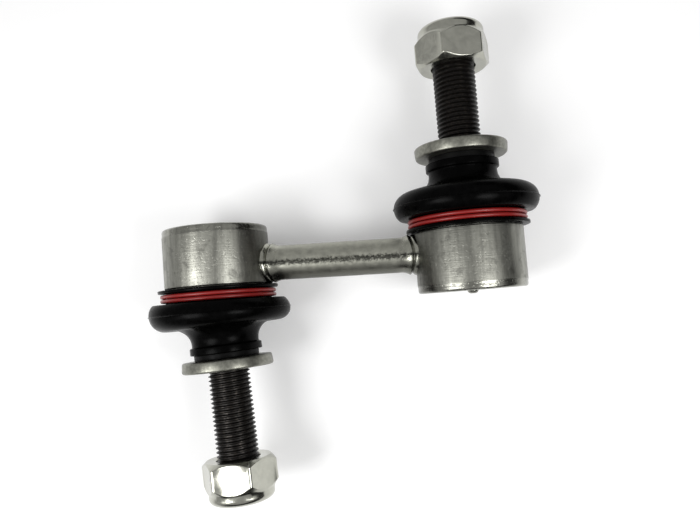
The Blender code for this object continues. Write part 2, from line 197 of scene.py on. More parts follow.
class LinkColours(bpy.types.PropertyGroup):
    """Finishes of the link that a user would change."""

    turned_zinc: colour("Turned zinc", "Plated steel of the housings and caps", "#92928a")
    forged_zinc: colour("Forged zinc", "Plated steel of the rod", "#a6a69b")
    washer_zinc: colour("Washer zinc", "Plate on the stop washers", "#88887f")
    nut_zinc: colour("Nut zinc", "Bright plate on the lock nuts", "#b0b0a6")
    phosphate: colour("Phosphate", "Coat on the studs", "#1a1714")
    rubber: colour("Rubber", "Moulded dust boots", "#030303")
    enamel: colour("Wire enamel", "Clamp rings", "#841816")
    polyamide: colour("Polyamide", "Neck sleeves", "#060606")
    acetal: colour("Acetal", "Ball seats", "#dddcd4")
    nylon: colour("Nylon", "Rings in the lock nuts", "#dcdcd4")


def add_node(tree, kind, inputs=None, **settings):
    """Add a node with its settings, and set or link its inputs."""
    item = tree.nodes.new(kind)
    for key, value in settings.items():
        setattr(item, key, value)
    for key, value in (inputs or {}).items():
        if isinstance(value, bpy.types.NodeSocket):
            tree.links.new(value, item.inputs[key])
        else:
            item.inputs[key].default_value = value
    return item


def new_material(name, base, roughness, metallic=0.0, sockets=None):
    """Return a material, its tree, its shader and the object coordinates its patterns read."""
    material = bpy.data.materials.new(name)
    material.use_nodes = True
    tree = material.node_tree
    shader = tree.nodes["Principled BSDF"]
    shader.inputs["Base Color"].default_value = (*base, 1)
    shader.inputs["Roughness"].default_value = roughness
    shader.inputs["Metallic"].default_value = metallic
    for key, value in (sockets or {}).items():
        shader.inputs[key].default_value = value
    material.diffuse_color = (*base, 1)
    coordinates = add_node(tree, "ShaderNodeTexCoord").outputs["Object"]
    return material, tree, shader, coordinates


def shade(base, factor):
    """Return a colour made lighter or darker, with its alpha."""
    return (*(min(c * factor, 1) for c in base), 1)


def two_toned(tree, pattern, low, high, first, second, most=1):
    """Mix a first tone into a second, up to a share, where a pattern's value runs from low to high."""
    share = add_node(
        tree, "ShaderNodeMapRange",
        {"Value": pattern.outputs[0], "From Min": low, "From Max": high, "To Min": 0, "To Max": most},
    )
    return add_node(tree, "ShaderNodeMix", {0: share.outputs[0], 6: first, 7: second}, data_type="RGBA")


def turned_zinc():
    """Zinc-plated turned steel: dull grey with soft streaks along its axis and fine tool marks round it."""
    base = bpy.context.scene.link_colours.turned_zinc
    material, tree, shader, at = new_material("zinc_plated_turned_steel", base, 0.36, 1.0)
    # Streaks about 2 mm apart, drawn out ten times as far along the housing's axis: partly plating streaks,
    # partly painted reflections of the turned surface
    streak_at = add_node(tree, "ShaderNodeMapping", {"Vector": at, "Scale": (1, 0.1, 1)})
    streaks = add_node(
        tree, "ShaderNodeTexNoise",
        {"Vector": streak_at.outputs[0], "Scale": 1 / (2.2 * MM), "Detail": 3, "Roughness": 0.6},
    )
    # Handling stains about 3 mm across, which are also a little duller
    stains = add_node(
        tree, "ShaderNodeTexNoise",
        {"Vector": at, "Scale": 1 / (3.2 * MM), "Detail": 5, "Roughness": 0.65, "Distortion": 0.6},
    )
    # The streaks lighten and darken the base colour: partly plating, partly painted reflections
    plating_and_reflection_streaks = two_toned(tree, streaks, 0.35, 0.65, shade(base, 0.66), shade(base, 1.14))
    body = two_toned(tree, stains, 0.55, 0.68, plating_and_reflection_streaks.outputs[2], shade(base, 0.42), 0.7)
    # The base colour is darker within about 8 mm of the rod
    darkest_reach, undarkened_reach = 21.5 * MM, 30 * MM
    place = add_node(tree, "ShaderNodeSeparateXYZ", {0: at})
    along = add_node(tree, "ShaderNodeMath", {0: place.outputs["X"]}, operation="ABSOLUTE")
    near_rod_share = add_node(
        tree, "ShaderNodeMapRange",
        {"Value": along.outputs[0], "From Min": darkest_reach, "From Max": undarkened_reach, "To Min": 0.6, "To Max": 0},
        interpolation_type="SMOOTHSTEP",
    )
    darkened_near_rod = add_node(
        tree, "ShaderNodeMix",
        {0: near_rod_share.outputs[0], 6: body.outputs[2], 7: shade(base, 0.3)}, data_type="RGBA",
    )
    tree.links.new(darkened_near_rod.outputs[2], shader.inputs["Base Color"])
    gloss = add_node(
        tree, "ShaderNodeMapRange",
        {"Value": stains.outputs[0], "From Min": 0.3, "From Max": 0.7, "To Min": 0.32, "To Max": 0.46},
    )
    # Rolling burnished the rim, which is what lies furthest from the rod's line
    rim_from, rim_to = 9.4 * MM, 9.8 * MM
    height = add_node(tree, "ShaderNodeMath", {0: place.outputs["Y"]}, operation="ABSOLUTE")
    rolled = add_node(
        tree, "ShaderNodeMapRange",
        {"Value": height.outputs[0], "From Min": rim_from, "From Max": rim_to, "To Min": 1, "To Max": 0.6},
    )
    finish = add_node(
        tree, "ShaderNodeMath", {0: gloss.outputs[0], 1: rolled.outputs[0]}, operation="MULTIPLY",
    )
    tree.links.new(finish.outputs[0], shader.inputs["Roughness"])
    # Tool marks: the real feed of 0.1 mm is too fine to show, so it is drawn at 0.3 mm
    marks_at = add_node(tree, "ShaderNodeMapping", {"Vector": at, "Scale": (0.02, 1, 0.02)})
    marks = add_node(
        tree, "ShaderNodeTexNoise",
        {"Vector": marks_at.outputs[0], "Scale": 1 / (0.3 * MM), "Detail": 2, "Roughness": 0.5},
    )
    ringed = add_node(
        tree, "ShaderNodeBump",
        {"Height": marks.outputs[0], "Strength": 0.6, "Distance": 0.05 * MM},
    )
    # Pits and dings about 0.7 mm across
    pits = add_node(
        tree, "ShaderNodeTexNoise",
        {"Vector": at, "Scale": 1 / (0.75 * MM), "Detail": 3, "Roughness": 0.6},
    )
    pitted = add_node(
        tree, "ShaderNodeMapRange",
        {"Value": pits.outputs[0], "From Min": 0.3, "From Max": 0.42, "To Min": 0, "To Max": 1},
    )
    worn = add_node(
        tree, "ShaderNodeBump",
        {"Height": pitted.outputs[0], "Strength": 0.5, "Distance": 0.05 * MM, "Normal": ringed.outputs[0]},
    )
    tree.links.new(worn.outputs[0], shader.inputs["Normal"])
    return material


def forged_zinc():
    """Zinc-plated forged steel: matt, faintly pebbled, with a dark rough parting line along each side."""
    base = bpy.context.scene.link_colours.forged_zinc
    material, tree, shader, at = new_material("zinc_plated_forged_steel", base, 0.4, 1.0)
    # Mottle about 1.5 mm across
    mottle = add_node(
        tree, "ShaderNodeTexNoise",
        {"Vector": at, "Scale": 1 / (1.6 * MM), "Detail": 5, "Roughness": 0.65},
    )
    body = two_toned(tree, mottle, 0.35, 0.65, shade(base, 0.8), shade(base, 1.08))
    # Parting line: distance from the line where the two dies met, broken up by crumbs of 0.6 mm
    crumb_reach = 0.55 * MM
    place = add_node(tree, "ShaderNodeSeparateXYZ", {0: at})
    line = add_node(
        tree, "ShaderNodeMath", {0: place.outputs["X"], 1: PARTING_SLOPE + ROD_SKEW, 2: PARTING_SHIFT},
        operation="MULTIPLY_ADD",
    )
    aside = add_node(
        tree, "ShaderNodeMath", {0: place.outputs["Y"], 1: line.outputs[0]}, operation="SUBTRACT",
    )
    crumbs = add_node(
        tree, "ShaderNodeTexNoise",
        {"Vector": at, "Scale": 1 / (0.6 * MM), "Detail": 3, "Roughness": 0.7},
    )
    wobble = add_node(
        tree, "ShaderNodeMapRange",
        {
            "Value": crumbs.outputs[0], "From Min": 0.3, "From Max": 0.7,
            "To Min": -crumb_reach, "To Max": crumb_reach,
        },
    )
    off = add_node(
        tree, "ShaderNodeMath", {0: aside.outputs[0], 1: wobble.outputs[0]}, operation="ADD",
    )
    far = add_node(tree, "ShaderNodeMath", {0: off.outputs[0]}, operation="ABSOLUTE")
    seam = add_node(
        tree, "ShaderNodeMapRange",
        {"Value": far.outputs[0], "From Min": 0.3 * MM, "From Max": 1.0 * MM, "To Min": 0.95, "To Max": 0},
    )
    # Painted shade: the rod is darker on the -Y side of its parting line
    shaded_minus_y_side = two_toned(tree, aside, 0, -4.2 * MM, body.outputs[2], shade(base, 0.25), 0.9)
    lined = add_node(
        tree, "ShaderNodeMix",
        {0: seam.outputs[0], 6: shaded_minus_y_side.outputs[2], 7: shade(base, 0.1)}, data_type="RGBA",
    )
    tree.links.new(lined.outputs[2], shader.inputs["Base Color"])
    gloss = add_node(
        tree, "ShaderNodeMapRange",
        {"Value": mottle.outputs[0], "From Min": 0.3, "From Max": 0.7, "To Min": 0.38, "To Max": 0.52},
    )
    # The dies rubbed the widened ends smoother
    even, widened = 15 * MM, 18.5 * MM
    along = add_node(tree, "ShaderNodeMath", {0: place.outputs["X"]}, operation="ABSOLUTE")
    rubbed = add_node(
        tree, "ShaderNodeMapRange",
        {"Value": along.outputs[0], "From Min": even, "From Max": widened, "To Min": 1, "To Max": 0.55},
        interpolation_type="SMOOTHSTEP",
    )
    polish = add_node(
        tree, "ShaderNodeMath", {0: gloss.outputs[0], 1: rubbed.outputs[0]}, operation="MULTIPLY",
    )
    tree.links.new(polish.outputs[0], shader.inputs["Roughness"])
    pebbled = add_node(
        tree, "ShaderNodeBump",
        {"Height": crumbs.outputs[0], "Strength": 0.5, "Distance": 0.05 * MM},
    )
    tree.links.new(pebbled.outputs[0], shader.inputs["Normal"])
    return material


def stamped_zinc():
    """Zinc-plated stamped steel: light, satin, with small sparkling specks on its rolled edges."""
    base = bpy.context.scene.link_colours.washer_zinc
    material, tree, shader, at = new_material("zinc_plated_stamped_steel", base, 0.38, 1.0)
    # Specks about 0.9 mm across
    specks = add_node(
        tree, "ShaderNodeTexNoise",
        {"Vector": at, "Scale": 1 / (0.9 * MM), "Detail": 4, "Roughness": 0.65},
    )
    body = two_toned(tree, specks, 0.36, 0.64, shade(base, 0.7), shade(base, 1.1))
    tree.links.new(body.outputs[2], shader.inputs["Base Color"])
    dimpled = add_node(
        tree, "ShaderNodeBump",
        {"Height": specks.outputs[0], "Strength": 0.5, "Distance": 0.04 * MM},
    )
    tree.links.new(dimpled.outputs[0], shader.inputs["Normal"])
    return material


def bright_zinc():
    """Bright zinc plate on a cold-formed nut: mirror-like flats with cloudy patches and fine scratches."""
    base = bpy.context.scene.link_colours.nut_zinc
    material, tree, shader, at = new_material("bright_zinc_plate", base, 0.2, 1.0)
    # Clouds about 2.4 mm across
    clouds = add_node(
        tree, "ShaderNodeTexNoise",
        {"Vector": at, "Scale": 1 / (2.4 * MM), "Detail": 5, "Roughness": 0.6, "Distortion": 0.4},
    )
    body = two_toned(tree, clouds, 0.38, 0.62, shade(base, 0.9), shade(base, 1.06))
    tree.links.new(body.outputs[2], shader.inputs["Base Color"])
    gloss = add_node(
        tree, "ShaderNodeMapRange",
        {"Value": clouds.outputs[0], "From Min": 0.35, "From Max": 0.65, "To Min": 0.16, "To Max": 0.24},
    )
    tree.links.new(gloss.outputs[0], shader.inputs["Roughness"])
    # Scratches: real ones are hair-fine, so they are drawn 0.5 mm apart and six times as long
    scratch_at = add_node(
        tree, "ShaderNodeMapping", {"Vector": at, "Rotation": (0, 0, 0.9), "Scale": (1, 0.16, 1)},
    )
    scratches = add_node(
        tree, "ShaderNodeTexNoise",
        {"Vector": scratch_at.outputs[0], "Scale": 1 / (0.5 * MM), "Detail": 3, "Roughness": 0.6},
    )
    scratched = add_node(
        tree, "ShaderNodeBump",
        {"Height": scratches.outputs[0], "Strength": 0.22, "Distance": 0.03 * MM},
    )
    uneven = add_node(
        tree, "ShaderNodeBump",
        {
            "Height": clouds.outputs[0], "Strength": 0.1, "Distance": 0.15 * MM,
            "Normal": scratched.outputs[0],
        },
    )
    tree.links.new(uneven.outputs[0], shader.inputs["Normal"])
    return material


def phosphated_steel():
    """Phosphated steel: brown-black, slightly oily, with bare glints on the thread's crests."""
    base = bpy.context.scene.link_colours.phosphate
    material, tree, shader, at = new_material("phosphated_steel", base, 0.42, 0.7)
    # The coat's crystals are too fine to show, so they are drawn in patches about 0.8 mm across
    crystals = add_node(
        tree, "ShaderNodeTexNoise",
        {"Vector": at, "Scale": 1 / (0.8 * MM), "Detail": 4, "Roughness": 0.7},
    )
    body = two_toned(tree, crystals, 0.5, 0.66, shade(base, 0.6), shade(base, 2.6))
    tree.links.new(body.outputs[2], shader.inputs["Base Color"])
    gloss = add_node(
        tree, "ShaderNodeMapRange",
        {"Value": crystals.outputs[0], "From Min": 0.35, "From Max": 0.65, "To Min": 0.5, "To Max": 0.32},
    )
    tree.links.new(gloss.outputs[0], shader.inputs["Roughness"])
    return material


def moulded_rubber():
    """Compression-moulded rubber: near black, with a soft sheen broken by a faint bloom."""
    base = bpy.context.scene.link_colours.rubber
    material, tree, shader, at = new_material(
        "moulded_rubber", base, 0.26, 0.0, {"Specular IOR Level": 0.03},
    )
    # Bloom about 2 mm across
    bloom = add_node(
        tree, "ShaderNodeTexNoise",
        {"Vector": at, "Scale": 1 / (2 * MM), "Detail": 5, "Roughness": 0.7},
    )
    body = two_toned(tree, bloom, 0.45, 0.7, shade(base, 0.7), shade(base, 1.8))
    tree.links.new(body.outputs[2], shader.inputs["Base Color"])
    gloss = add_node(
        tree, "ShaderNodeMapRange",
        {"Value": bloom.outputs[0], "From Min": 0.35, "From Max": 0.65, "To Min": 0.2, "To Max": 0.34},
    )
    tree.links.new(gloss.outputs[0], shader.inputs["Roughness"])
    # Skin of the mould, with a grain of 0.35 mm
    skin = add_node(
        tree, "ShaderNodeTexNoise",
        {"Vector": at, "Scale": 1 / (0.35 * MM), "Detail": 2, "Roughness": 0.5},
    )
    grained = add_node(
        tree, "ShaderNodeBump",
        {"Height": skin.outputs[0], "Strength": 0.25, "Distance": 0.03 * MM},
    )
    tree.links.new(grained.outputs[0], shader.inputs["Normal"])
    return material


def enamelled_wire():
    """Enamelled spring wire: even deep red with a glossy coat and a few dulled patches."""
    base = bpy.context.scene.link_colours.enamel
    material, tree, shader, at = new_material("enamelled_spring_wire", base, 0.36)
    # Dulled patches about 3 mm across
    patches = add_node(
        tree, "ShaderNodeTexNoise",
        {"Vector": at, "Scale": 1 / (3 * MM), "Detail": 3, "Roughness": 0.6},
    )
    body = add_node(
        tree, "ShaderNodeMix",
        {0: patches.outputs[0], 6: shade(base, 0.75), 7: shade(base, 1.15)}, data_type="RGBA",
    )
    tree.links.new(body.outputs[2], shader.inputs["Base Color"])
    return material


def moulded_plastic(name, base, roughness, level=0.5):
    """Injection-moulded plastic: even colour, with the faint ripple of the mould in its gloss."""
    material, tree, shader, at = new_material(name, base, roughness, 0.0, {"Specular IOR Level": level})
    # Flow ripple about 2 mm across
    ripple = add_node(
        tree, "ShaderNodeTexNoise",
        {"Vector": at, "Scale": 1 / (2 * MM), "Detail": 2, "Roughness": 0.5},
    )
    gloss = add_node(
        tree, "ShaderNodeMapRange",
        {
            "Value": ripple.outputs[0], "From Min": 0.35, "From Max": 0.65,
            "To Min": roughness - 0.06, "To Max": roughness + 0.06,
        },
    )
    tree.links.new(gloss.outputs[0], shader.inputs["Roughness"])
    return material


def end_place(side):
    """Placement of an end, with local +Z from the ball's centre along the untilted stud."""
    sign, turn = (1, 0) if side == "right" else (-1, math.pi)
    centre = bpy.context.scene.link_sizes.centre_distance / 2
    turned = Euler((-math.pi / 2, 0, turn)).to_matrix().to_4x4()
    return Matrix.Translation((sign * centre, 0, 0)) @ turned


def lean_rotation(side):
    """Rotation about the ball's centre that leans the stud toward its heading."""
    heading = LEAN_HEADING[side]
    return Matrix.Rotation(STUD_LEAN[side], 4, (-math.sin(heading), math.cos(heading), 0))


def stud_place(side):
    """Placement of what follows the stud."""
    return end_place(side) @ lean_rotation(side)


def arc(centre, radius, start, end, steps):
    """Points of an arc in the (radius, level) plane, both ends included."""
    angles = [start + (end - start) * i / steps for i in range(steps + 1)]
    return [(centre[0] + radius * math.cos(a), centre[1] + radius * math.sin(a)) for a in angles]


def swing(level):
    """Opening radius that lets the neck tilt to its limit at a level above the ball's centre."""
    return level * math.tan(TILT_LIMIT) + NECK_RADIUS / math.cos(TILT_LIMIT) + GAP


def lathe(profile, segments=SEGMENTS):
    """Turn a profile about Z into one closed shell.

    A point of the profile is (radius, level), or (radius, level, edge round) where its corner is softened.
    """
    bm = bmesh.new()
    verts = [bm.verts.new((point[0], 0, point[1])) for point in profile]
    on_axis = profile[0][0] == 0 and profile[-1][0] == 0
    following = verts[1:] if on_axis else verts[1:] + verts[:1]
    for pair in zip(verts, following):
        bm.edges.new(pair)
    for size in sorted({point[2] for point in profile if len(point) > 2}):
        corners = [v for v, point in zip(verts, profile) if len(point) > 2 and point[2] == size]
        bmesh.ops.bevel(
            bm, geom=corners, offset=size, affect="VERTICES",
            segments=max(EDGE_SEGMENTS, round(5 * size / MM)), profile=0.5, material=-1,
        )
    bmesh.ops.spin(
        bm, geom=bm.verts[:] + bm.edges[:], cent=(0, 0, 0), axis=(0, 0, 1),
        angle=2 * math.pi, steps=segments, use_merge=True,
    )
    bmesh.ops.remove_doubles(bm, verts=bm.verts, dist=DOUBLES)
    bmesh.ops.recalc_face_normals(bm, faces=bm.faces)
    return bm


def hexagon_reach(angle, flat, rounding):
    """Distance from the axis to the side of a hexagon with rounded corners."""
    aside = abs(angle % (math.pi / 3) - math.pi / 6)
    sixth = math.pi / 6
    if math.tan(aside) < (flat - rounding) * math.tan(sixth) / flat:
        return flat / math.cos(aside)
    middle = (flat - rounding) / math.cos(sixth)
    off = middle * math.sin(sixth - aside)
    return middle * math.cos(sixth - aside) + math.sqrt(rounding * rounding - off * off)


def take_in(bm, other):
    """Add a second bmesh to the first, and free it."""
    mesh = bpy.data.meshes.new("taken_in")
    other.to_mesh(mesh)
    other.free()
    bm.from_mesh(mesh)
    bpy.data.meshes.remove(mesh)


def add_piece(bm, name, material, sharp=30):
    """Make the bmesh an object at the origin, with its place in its mesh."""
    mesh = bpy.data.meshes.new(name)
    bm.to_mesh(mesh)
    bm.free()
    mesh.shade_smooth()
    mesh.set_sharp_from_angle(angle=math.radians(sharp))
    mesh.materials.append(material)
    piece = bpy.data.objects.new(name, mesh)
    bpy.context.scene.collection.objects.link(piece)
    return piece


def turned_pair(profile, name, material, placement):
    """Turn one profile for each end, put it in its place, and give its side and its object."""
    for side in SIDES:
        bm = lathe(profile)
        bmesh.ops.transform(bm, verts=bm.verts, matrix=placement(side))
        yield side, add_piece(bm, f"{name}_{side}", material)


class LINK_OT_rod(bpy.types.Operator):
    """Build the forged rod with its parting line and the weld at each housing"""

    bl_idname = "link.rod"
    bl_label = "Rod"

    def execute(self, context):
        sizes = context.scene.link_sizes
        wall = sizes.housing_radius
        root = sizes.centre_distance / 2 - wall
        # Length, rise and power of the flare, the round at its end, and the groove that the weld fills
        flare, rise, power = 3.0 * MM, 0.7 * MM, 2.6
        crown, drop = 0.7 * MM, 0.45 * MM
        bead, sunk, step = 1.2 * MM, 0.5 * MM, 0.2 * MM
        # Height and size of the skin's lumps, of the weld's ripples and of the parting line's crumbs
        lump_height, lump_size = 0.05 * MM, 4 * MM
        ripple_height, ripple_size = 0.09 * MM, 1.3 * MM
        crumb_size = 1.1 * MM
        rings = round(2 * (root + sunk) / step)
        profile = [(0, -root - sunk)]
        for i in range(rings + 1):
            level = -root - sunk + 2 * (root + sunk) * i / rings
            # The forging widens toward the housing, then rounds over into the groove beside the weld
            into = min(max((abs(level) - root + bead + crown + flare) / flare, 0), 1)
            over = max((abs(level) - root + bead + crown) / crown, 0)
            radius = sizes.rod_radius + rise * into ** power - drop * min(over, 1) ** 2
            profile.append((radius, level))
        profile.append((0, root + sunk))
        bm = lathe(profile)
        weld_round, weld_sunk, weld_off = 1.05 * MM, 0.9 * MM, 0.1 * MM
        weld_radius = sizes.rod_radius + rise - weld_sunk
        for sign in (1, -1):
            centre = (weld_radius, sign * (root - weld_off))
            take_in(bm, lathe(arc(centre, weld_round, 0, 2 * math.pi, 20)[:-1]))
        bmesh.ops.transform(bm, verts=bm.verts, matrix=Matrix.Rotation(math.pi / 2, 4, "Y"))
        for vert in bm.verts:
            across = Vector((0, vert.co.y, vert.co.z))
            if across.length > 0.5 * sizes.rod_radius:
                # Two dies leave a crumbly ridge along the rod, and the forged skin is never quite round
                aside = (vert.co.y - PARTING_SLOPE * vert.co.x - PARTING_SHIFT) / PARTING_WIDTH
                crumble = 0.6 + noise.noise(vert.co / crumb_size)
                ridge = PARTING_HEIGHT * crumble * math.exp(-aside * aside)
                lump = lump_height * noise.noise(vert.co / lump_size)
                if abs(vert.co.x) > root - bead:
                    lump += ripple_height * noise.noise(vert.co / ripple_size)
                vert.co += across.normalized() * (ridge + lump)
            # The ends follow the housing's round wall
            near = min(max((abs(vert.co.x) - root + flare + crown + bead) / flare, 0), 1)
            sag = wall - math.sqrt(wall * wall - vert.co.z * vert.co.z)
            vert.co.x += math.copysign(near * sag, vert.co.x)
            vert.co.y += ROD_SKEW * vert.co.x
        rod = add_piece(bm, "forged_rod", forged_zinc(), sharp=40)
        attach(rod, "link")
        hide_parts("link_rod")
        return {"FINISHED"}


class LINK_OT_housings(bpy.types.Operator):
    """Build the two turned housings with their rolled rims"""

    bl_idname = "link.housings"
    bl_label = "Housings"

    def execute(self, context):
        radius = context.scene.link_sizes.housing_radius
        # The rolled rim is a little narrower than the cup, with a chamfer between the two
        band_step, chamfer = 0.12 * MM, 0.6 * MM
        band = radius - band_step
        # The barb that holds the boot's bead
        barb = BEAD_SEAT_RADIUS + BARB_HEIGHT
        barb_base = HOUSING_TOP - 0.9 * MM
        profile = [
            (band, HOUSING_BASE, 0.7 * MM),
            (band, HOUSING_BASE + RIM_BAND - chamfer, 0.1 * MM),
            (radius, HOUSING_BASE + RIM_BAND, 0.1 * MM),
            (radius, BEAD_SEAT_LEVEL, 0.3 * MM),
            (BEAD_SEAT_RADIUS, BEAD_SEAT_LEVEL),
            (BEAD_SEAT_RADIUS, barb_base - BARB_HEIGHT),
            (barb, barb_base, 0.1 * MM),
            (barb, HOUSING_TOP, 0.4 * MM),
            (swing(HOUSING_TOP), HOUSING_TOP, 0.2 * MM),
            (swing(MOUTH_BASE), MOUTH_BASE, 0.2 * MM),
            (BORE_RADIUS, MOUTH_BASE),
            (BORE_RADIUS, RIM_INNER),
            (BORE_RADIUS - RIM_OVERHANG, RIM_INNER, 0.2 * MM),
            (BORE_RADIUS - RIM_OVERHANG, HOUSING_BASE, 0.3 * MM),
        ]
        for side, housing in turned_pair(profile, "turned_housing", turned_zinc(), end_place):
            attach(housing, "link")
            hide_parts(f"{side}_housing")
        return {"FINISHED"}


class LINK_OT_caps(bpy.types.Operator):
    """Build the two closing caps with their centre nubs"""

    bl_idname = "link.caps"
    bl_label = "Closing caps"

    def execute(self, context):
        thickness, boss_height, nub_height = 1.0 * MM, 0.6 * MM, 1.4 * MM
        nub_foot, nub_radius = 1.7 * MM, 1.3 * MM
        inner = CAP_OUTER + thickness
        boss = CAP_OUTER - boss_height
        nub = boss - nub_height
        boss_radius = BORE_RADIUS - RIM_OVERHANG - GAP
        profile = [
            (0, inner),
            (BORE_RADIUS - GAP, inner, 0.15 * MM),
            (BORE_RADIUS - GAP, CAP_OUTER, 0.15 * MM),
            (boss_radius, CAP_OUTER),
            (boss_radius, boss, 0.45 * MM),
            (nub_foot, boss, 0.3 * MM),
            (nub_radius, nub, 0.7 * MM),
            (0, nub),
        ]
        for side, cap in turned_pair(profile, "pressed_cap", turned_zinc(), end_place):
            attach(cap, "link")
            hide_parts(f"{side}_closing_cap")
        return {"FINISHED"}


class LINK_OT_seats(bpy.types.Operator):
    """Build the two ball seats"""

    bl_idname = "link.seats"
    bl_label = "Ball seats"

    def execute(self, context):
        ball = context.scene.link_sizes.ball_radius
        socket = ball + GAP
        # The lip clears the tilted neck by a margin, and the floor is thin
        margin, floor = math.radians(2.5), 0.6 * MM
        lip_angle = math.asin(NECK_RADIUS / ball) + TILT_LIMIT + margin
        base = -(socket + floor)
        outer = BORE_RADIUS - GAP
        inside = arc((0, 0), socket, math.pi / 2 - lip_angle, -math.pi / 2, 32)
        profile = [
            (0, base),
            (outer, base, 0.8 * MM),
            (outer, SEAT_TOP, 0.15 * MM),
            (max(inside[0][0], swing(SEAT_TOP)), SEAT_TOP, 0.15 * MM),
            *inside[:-1],
            (0, -socket),
        ]
        finish = moulded_plastic("natural_acetal", context.scene.link_colours.acetal, 0.42)
        for side, seat in turned_pair(profile, "moulded_seat", finish, end_place):
            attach(seat, "link")
            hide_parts(f"{side}_ball_seat")
        return {"FINISHED"}


class LINK_OT_boots(bpy.types.Operator):
    """Build the two moulded dust boots, shaped with a bend between the housing and the leaning neck"""

    bl_idname = "link.boots"
    bl_label = "Dust boots"

    def execute(self, context):
        lip_reach, ridge_height, ridge_reach = 2.05 * MM, 2.2 * MM, 0.7 * MM
        lip = RING_SEAT_RADIUS + lip_reach
        lip_base = BEAD_SEAT_LEVEL + GAP
        bore = BEAD_SEAT_RADIUS + GAP
        barb_bore = bore + BARB_HEIGHT
        barb_level = HOUSING_TOP - 1.7 * MM
        neck_bore = SLEEVE_RADIUS + GAP
        neck = neck_bore + BOOT_WALL
        ridge = BOOT_TOP - ridge_height
        # The mould's flash line round the bulge: its height, and half of the angle that it takes
        flash, flash_half = 0.28 * MM, 0.045
        top = WAIST_ANGLE - math.pi
        profile = [
            (bore, lip_base, 0.1 * MM),
            (lip, lip_base, 0.3 * MM),
            (lip - 0.1 * MM, RING_GROOVE[0], 0.25 * MM),
            (RING_SEAT_RADIUS, RING_GROOVE[0], 0.15 * MM),
            (RING_SEAT_RADIUS, RING_GROOVE[1], 0.15 * MM),
            *arc(BULGE_CENTRE, BULGE_ROUND, -BULGE_START, -flash_half, 12),
            (BULGE_CENTRE[0] + BULGE_ROUND + flash, BULGE_CENTRE[1], 0.08 * MM),
            *arc(BULGE_CENTRE, BULGE_ROUND, flash_half, WAIST_ANGLE, 24),
            *arc(WAIST_CENTRE, WAIST_ROUND, top, -math.pi, 14)[1:],
            (neck, ridge, 0.2 * MM),
            (neck + ridge_reach, ridge + 0.25 * MM, 0.2 * MM),
            (neck + ridge_reach, BOOT_TOP, 0.25 * MM),
            (neck_bore, BOOT_TOP, 0.1 * MM),
            *arc(WAIST_CENTRE, WAIST_ROUND + BOOT_WALL, -math.pi, top, 10),
            *arc(BULGE_CENTRE, BULGE_ROUND - BOOT_WALL, WAIST_ANGLE, -BULGE_START, 20)[1:],
            (barb_bore, HOUSING_TOP + GAP, 0.1 * MM),
            (barb_bore, barb_level + BARB_HEIGHT),
            (bore, barb_level),
        ]
        finish = moulded_rubber()
        for side in SIDES:
            bm = lathe(profile)
            # The bead stays square on the housing and the neck follows the stud
            full = lean_rotation(side).to_quaternion()
            for vert in bm.verts:
                share = min(max((vert.co.z - HOUSING_TOP) / (SLEEVE_BASE - HOUSING_TOP), 0), 1)
                vert.co.rotate(Quaternion().slerp(full, share))
            place = end_place(side)
            bmesh.ops.transform(bm, verts=bm.verts, matrix=place)
            boot = add_piece(bm, f"moulded_boot_{side}", finish, sharp=50)
            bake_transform(boot)
            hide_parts(f"{side}_dust_boot")
        return {"FINISHED"}


class LINK_OT_rings(bpy.types.Operator):
    """Wind the two clamp rings, each two turns of wire with one step between them"""

    bl_idname = "link.rings"
    bl_label = "Clamp rings"

    def execute(self, context):
        radius = RING_SEAT_RADIUS + GAP + WIRE_RADIUS
        level = (sum(RING_GROOVE) - WIRE_PITCH) / 2
        # The first turn, the step up, and a second turn that ends 1.4 steps short of a full one
        first, second = 2 * math.pi - WIRE_STEP, 2 * math.pi - 1.4 * WIRE_STEP
        turns = ((first, 0), (WIRE_STEP, WIRE_PITCH), (second, 0))
        finish = enamelled_wire()
        for side in SIDES:
            bm = bmesh.new()
            upright = Matrix.Translation((0, radius, level)) @ Matrix.Rotation(math.pi / 2, 4, "Y")
            bmesh.ops.create_circle(bm, segments=16, radius=WIRE_RADIUS, matrix=upright)
            last = bm.verts[:] + bm.edges[:]
            for angle, rise in turns:
                steps = max(12, round(angle * SEGMENTS / (2 * math.pi)))
                last = bmesh.ops.spin(
                    bm, geom=last, cent=(0, 0, 0), axis=(0, 0, 1), dvec=(0, 0, rise / steps),
                    angle=angle, steps=steps,
                )["geom_last"]
            bmesh.ops.holes_fill(bm, edges=[e for e in bm.edges if e.is_boundary])
            bmesh.ops.recalc_face_normals(bm, faces=bm.faces)
            bmesh.ops.transform(bm, verts=bm.verts, matrix=end_place(side))
            ring = add_piece(bm, f"wound_ring_{side}", finish)
            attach(ring, "link")
            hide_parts(f"{side}_boot_clamp_ring")
        return {"FINISHED"}


